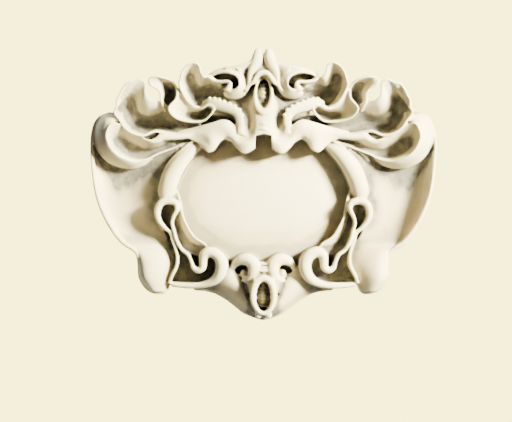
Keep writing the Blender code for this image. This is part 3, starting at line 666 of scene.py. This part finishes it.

# Limestone, darkened in the hollows by soot and painted shade, and rubbed pale on the edges
limestone = {
    "pale": (0.67, 0.60, 0.40, 1), "warm": (0.58, 0.49, 0.32, 1), "rubbed": (0.74, 0.68, 0.47, 1),
    # the dark colour of the hollows is soot and painted shade; less of it is left on the field
    "sootAndShade": (0.102, 0.096, 0.088, 1), "fieldSootAndShade": 0.42,
    # each range is from and to what, then the least and the most that it gives
    "mottleScale": 8.0, "mottleRange": (0.36, 0.62),
    "bedScale": (2.0, 2.0, 17.0), "bedTilt": 0.12, "bedRange": (0.52, 0.68, 0.0, 0.32),
    "speckScale": 480.0, "speckRange": (0.60, 0.72, 0.0, 0.35),
    "breakupScale": 34.0, "breakupRange": (0.3, 0.7, 0.72, 1.12),
    "sootAndShadeRanges": {"fineHollow": (0.08, 0.9, 0.0, 0.8), "broadHollow": (0.02, 0.6, 0.0, 0.95),
                   "wideHollow": (0.20, 0.72, 0.0, 0.94)},
    "rubbedRange": (-0.12, -0.75, 0.0, 0.8),
    "chiselTilt": 0.65, "chiselScale": 80.0, "chiselDepth": 0.0005,
    "chiselPatch": 16.0, "chiselRange": (0.44, 0.6, 0.05, 0.7),
    "pitScale": 150.0, "pitSize": 0.16, "pitDepth": 0.0009, "pitPatch": 24.0, "pitRange": (0.5, 0.64),
    "grainScale": 300.0, "grainDepth": 0.0006, "grainShare": 0.55,
    "sawScale": 46.0, "sawDepth": 0.0013, "sawRange": (-0.0015, -0.0003, 0.0, 0.8),
    "sawPatch": 7.0, "sawWear": (0.38, 0.62, 0.15, 1.0),
    "roughRange": (0.3, 1.3, 0.66, 0.93),
}


def addNode(tree, kind, where, **settings):
    node = tree.nodes.new(kind)
    node.location = where
    for key, value in settings.items():
        setattr(node, key, value)
    return node


def setInputs(node, **values):
    for key, value in values.items():
        node.inputs[key.replace("_", " ")].default_value = value
    return node


def addRange(tree, where, source, low, high, least=0.0, most=1.0):
    node = addNode(tree, "ShaderNodeMapRange", where)
    setInputs(node, From_Min=low, From_Max=high, To_Min=least, To_Max=most)
    tree.links.new(source, node.inputs["Value"])
    return node.outputs["Result"]


# Adds or multiplies; a sum is kept within 0 and 1
def addSum(tree, where, first, second, operation="ADD"):
    node = addNode(tree, "ShaderNodeMath", where, operation=operation, use_clamp=operation == "ADD")
    for socket, value in zip(node.inputs, (first, second)):
        if isinstance(value, float):
            socket.default_value = value
        else:
            tree.links.new(value, socket)
    return node.outputs["Value"]


def addMix(tree, where, share, first, second):
    node = addNode(tree, "ShaderNodeMix", where, data_type="RGBA")
    for socket, value in zip((node.inputs[0], node.inputs[6], node.inputs[7]), (share, first, second)):
        if isinstance(value, (float, tuple)):
            socket.default_value = value
        else:
            tree.links.new(value, socket)
    return node.outputs[2]


def addNoise(tree, where, vector, scale, detail=4.0, roughness=0.5):
    node = addNode(tree, "ShaderNodeTexNoise", where)
    setInputs(node, Scale=scale, Detail=detail, Roughness=roughness)
    tree.links.new(vector, node.inputs["Vector"])
    return node.outputs["Fac"]


def addBump(tree, where, height, depth, normal=None, strength=1.0, invert=False):
    node = addNode(tree, "ShaderNodeBump", where, invert=invert)
    node.inputs["Distance"].default_value = depth
    if isinstance(strength, float):
        node.inputs["Strength"].default_value = strength
    else:
        tree.links.new(strength, node.inputs["Strength"])
    tree.links.new(height, node.inputs["Height"])
    if normal is not None:
        tree.links.new(normal, node.inputs["Normal"])
    return node.outputs["Normal"]


def carvedLimestone(look):
    material = bpy.data.materials.new("carvedLimestone")
    material.use_nodes = True
    tree = material.node_tree
    link = tree.links.new
    shader = tree.nodes["Principled BSDF"]
    shader.location = (900, 0)
    tree.nodes["Material Output"].location = (1200, 0)
    spot = addNode(tree, "ShaderNodeTexCoord", (-1700, 0)).outputs["Object"]

    # colour of the clean stone
    mottle = addNoise(tree, (-1300, 500), spot, look["mottleScale"], 6.0, 0.6)
    paleness = addRange(tree, (-1100, 500), mottle, *look["mottleRange"])
    tone = addMix(tree, (-900, 500), paleness, look["warm"], look["pale"])
    beds = addNode(tree, "ShaderNodeMapping", (-1500, 700))
    beds.inputs["Scale"].default_value = look["bedScale"]
    beds.inputs["Rotation"].default_value = (0.0, look["bedTilt"], 0.0)
    link(spot, beds.inputs["Vector"])
    bedding = addNoise(tree, (-1300, 700), beds.outputs["Vector"], 1.6, 5.0, 0.65)
    warmth = addRange(tree, (-900, 700), bedding, *look["bedRange"])
    tone = addMix(tree, (-700, 550), warmth, tone, look["warm"])
    specks = addNoise(tree, (-1300, 300), spot, look["speckScale"], 2.0, 0.5)
    speckled = addRange(tree, (-900, 300), specks, *look["speckRange"])
    tone = addMix(tree, (-500, 500), speckled, tone, look["rubbed"])

    # soot and painted shade darken the hollows, broken up by the grain
    sootAndShade = 0.0
    for row, (name, limits) in enumerate(look["sootAndShadeRanges"].items()):
        level = -100 - 200 * row
        depth = addNode(tree, "ShaderNodeAttribute", (-1500, level), attribute_name=name)
        part = addRange(tree, (-1300, level), depth.outputs["Fac"], *limits)
        sootAndShade = addSum(tree, (-1100, level), part, sootAndShade)
    breakup = addNoise(tree, (-1300, 100), spot, look["breakupScale"], 5.0, 0.65)
    unevenness = addRange(tree, (-1100, 100), breakup, *look["breakupRange"])
    sootAndShade = addSum(tree, (-900, -100), sootAndShade, unevenness, "MULTIPLY")
    # less soot and painted shade on the face of the field
    onFieldFace = addNode(tree, "ShaderNodeAttribute", (-1100, -250), attribute_name="fieldFace")
    kept = addRange(tree, (-900, -250), onFieldFace.outputs["Fac"], 0.0, 1.0, 1.0, look["fieldSootAndShade"])
    sootAndShade = addSum(tree, (-700, -100), sootAndShade, kept, "MULTIPLY")
    # the hollows are mixed towards the dark colour: soot and painted shade
    tone = addMix(tree, (-300, 400), sootAndShade, tone, look["sootAndShade"])

    # edges and crests rubbed pale
    ridges = addNode(tree, "ShaderNodeAttribute", (-1500, -800), attribute_name="fineHollow")
    rubbed = addRange(tree, (-1300, -800), ridges.outputs["Fac"], *look["rubbedRange"])
    tone = addMix(tree, (-100, 400), rubbed, tone, look["rubbed"])
    link(tone, shader.inputs["Base Color"])

    # chisel marks, in patches, then pits and grain; saw marks on the back
    tilt = addNode(tree, "ShaderNodeMapping", (-1500, -1000))
    tilt.inputs["Rotation"].default_value = (0.0, look["chiselTilt"], 0.0)
    link(spot, tilt.inputs["Vector"])
    chisel = addNode(tree, "ShaderNodeTexWave", (-1300, -1000))
    setInputs(chisel, Scale=look["chiselScale"], Distortion=5.0, Detail=2.0, Detail_Scale=0.6)
    link(tilt.outputs["Vector"], chisel.inputs["Vector"])
    chiselPatches = addNoise(tree, (-1300, -1200), spot, look["chiselPatch"], 2.0)
    chiselled = addRange(tree, (-1100, -1200), chiselPatches, *look["chiselRange"])
    normal = addBump(tree, (-500, -900), chisel.outputs["Fac"], look["chiselDepth"], None, chiselled)
    pits = addNode(tree, "ShaderNodeTexVoronoi", (-1300, -1400))
    setInputs(pits, Scale=look["pitScale"])
    link(spot, pits.inputs["Vector"])
    pitHollow = addRange(tree, (-1100, -1400), pits.outputs["Distance"], 0.0, look["pitSize"])
    pitPatches = addNoise(tree, (-1300, -1600), spot, look["pitPatch"], 3.0)
    pitted = addRange(tree, (-1100, -1600), pitPatches, *look["pitRange"])
    normal = addBump(tree, (-300, -1000), pitHollow, look["pitDepth"], normal, pitted)
    grain = addNoise(tree, (-1300, -1800), spot, look["grainScale"], 4.0, 0.6)
    normal = addBump(tree, (-100, -1100), grain, look["grainDepth"], normal, look["grainShare"])
    parts = addNode(tree, "ShaderNodeSeparateXYZ", (-1500, -2000))
    link(spot, parts.inputs["Vector"])
    atBack = addRange(tree, (-1300, -2000), parts.outputs["Y"], *look["sawRange"])
    sawPatches = addNoise(tree, (-1300, -2400), spot, look["sawPatch"], 3.0)
    sawWear = addRange(tree, (-1100, -2100), sawPatches, *look["sawWear"])
    sawn = addSum(tree, (-900, -2000), atBack, sawWear, "MULTIPLY")
    saw = addNode(tree, "ShaderNodeTexWave", (-1300, -2200), bands_direction="Z")
    setInputs(saw, Scale=look["sawScale"], Distortion=4.5, Detail=3.0, Detail_Scale=0.25)
    link(spot, saw.inputs["Vector"])
    normal = addBump(tree, (100, -1200), saw.outputs["Fac"], look["sawDepth"], normal, sawn)
    link(normal, shader.inputs["Normal"])
    mottleSootAndShade = addSum(tree, (-1100, -650), mottle, sootAndShade)
    rough = addRange(tree, (-900, -600), mottleSootAndShade, *look["roughRange"])
    link(rough, shader.inputs["Roughness"])
    return material


stone.name = "carvedCartouche"
stone.data.name = "carvedCartouche"
stone.data.materials.clear()
stone.data.materials.append(carvedLimestone(limestone))
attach(stone, "root")
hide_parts("cartouche")
print("stone finished")

studio = {
    "floor": -1.1, "floorSize": 9.0, "lens": 135, "distance": 4.48, "aim": (-0.0171, -0.0633),
    "key": {"at": (3.1, -2.2, 1.2), "size": 0.8, "power": 82, "spread": 30, "colour": (1.0, 0.94, 0.62)},
    "back": {"at": (-2.3, 2.8, 1.6), "size": 2.5, "power": 150, "spread": 120, "colour": (0.96, 0.97, 1.0)},
    "top": {"at": (0.4, 0.6, 2.6), "size": 2.4, "power": 60, "spread": 120, "colour": (1.0, 0.97, 0.88)},
    "sky": (1.0, 0.90, 0.26), "skySeen": 6.6, "skyLit": (0.90, 0.94, 1.0), "skyLight": 0.08,
    "floorColour": (0.46, 0.44, 0.40), "floorRoughness": 0.9, "floorSeen": 3.2,
}


def setFloor(look):
    bm = bmesh.new()
    bmesh.ops.create_grid(bm, x_segments=1, y_segments=1, size=look["floorSize"] / 2)
    bmesh.ops.translate(bm, verts=bm.verts[:], vec=(0, 0, look["floor"]))
    mesh = bpy.data.meshes.new("studioFloor")
    bm.to_mesh(mesh)
    bm.free()
    floor = bpy.data.objects.new("studioFloor", mesh)
    bpy.context.scene.collection.objects.link(floor)
    paint = bpy.data.materials.new("paleFloor")
    paint.use_nodes = True
    shader = paint.node_tree.nodes["Principled BSDF"]
    shader.inputs["Base Color"].default_value = (*look["floorColour"], 1)
    shader.inputs["Roughness"].default_value = look["floorRoughness"]
    shader.inputs["Emission Color"].default_value = (*look["sky"], 1)
    # the floor glows for the camera alone and lights nothing
    seen = addNode(paint.node_tree, "ShaderNodeLightPath", (-400, 0))
    glow = addNode(paint.node_tree, "ShaderNodeMath", (-200, 0), operation="MULTIPLY")
    glow.inputs[1].default_value = look["floorSeen"]
    paint.node_tree.links.new(seen.outputs["Is Camera Ray"], glow.inputs[0])
    paint.node_tree.links.new(glow.outputs["Value"], shader.inputs["Emission Strength"])
    mesh.materials.append(paint)


def addLamp(name, look):
    lamp = bpy.data.lights.new(name, "AREA")
    lamp.size = look["size"]
    lamp.energy = look["power"]
    lamp.spread = math.radians(look["spread"])
    lamp.color = look["colour"]
    holder = bpy.data.objects.new(name, lamp)
    holder.location = look["at"]
    holder.rotation_euler = (Vector((0, 0, 0)) - Vector(look["at"])).to_track_quat("-Z", "Y").to_euler()
    bpy.context.scene.collection.objects.link(holder)


def setSky(look):
    world = bpy.data.worlds.new("studioSky")
    bpy.context.scene.world = world
    world.use_nodes = True
    tree = world.node_tree
    lit = tree.nodes["Background"]
    lit.inputs["Color"].default_value = (*look["skyLit"], 1)
    lit.inputs["Strength"].default_value = look["skyLight"]
    seen = addNode(tree, "ShaderNodeBackground", (0, -200))
    seen.inputs["Color"].default_value = (*look["sky"], 1)
    seen.inputs["Strength"].default_value = look["skySeen"]
    path = addNode(tree, "ShaderNodeLightPath", (-200, 200))
    mix = addNode(tree, "ShaderNodeMixShader", (200, 0))
    tree.links.new(path.outputs["Is Camera Ray"], mix.inputs["Fac"])
    tree.links.new(lit.outputs["Background"], mix.inputs[1])
    tree.links.new(seen.outputs["Background"], mix.inputs[2])
    tree.links.new(mix.outputs["Shader"], tree.nodes["World Output"].inputs["Surface"])


setFloor(studio)
addLamp("keyLamp", studio["key"])
addLamp("backLamp", studio["back"])
addLamp("topLamp", studio["top"])
setSky(studio)
lens = bpy.data.cameras.new("photoCamera")
lens.lens = studio["lens"]
lens.dof.use_dof = False
camera = bpy.data.objects.new("photoCamera", lens)
camera.location = (studio["aim"][0], -studio["distance"], studio["aim"][1])
camera.rotation_euler = (math.pi / 2, 0, 0)
bpy.context.scene.collection.objects.link(camera)
bpy.context.scene.camera = camera
print("studio set")
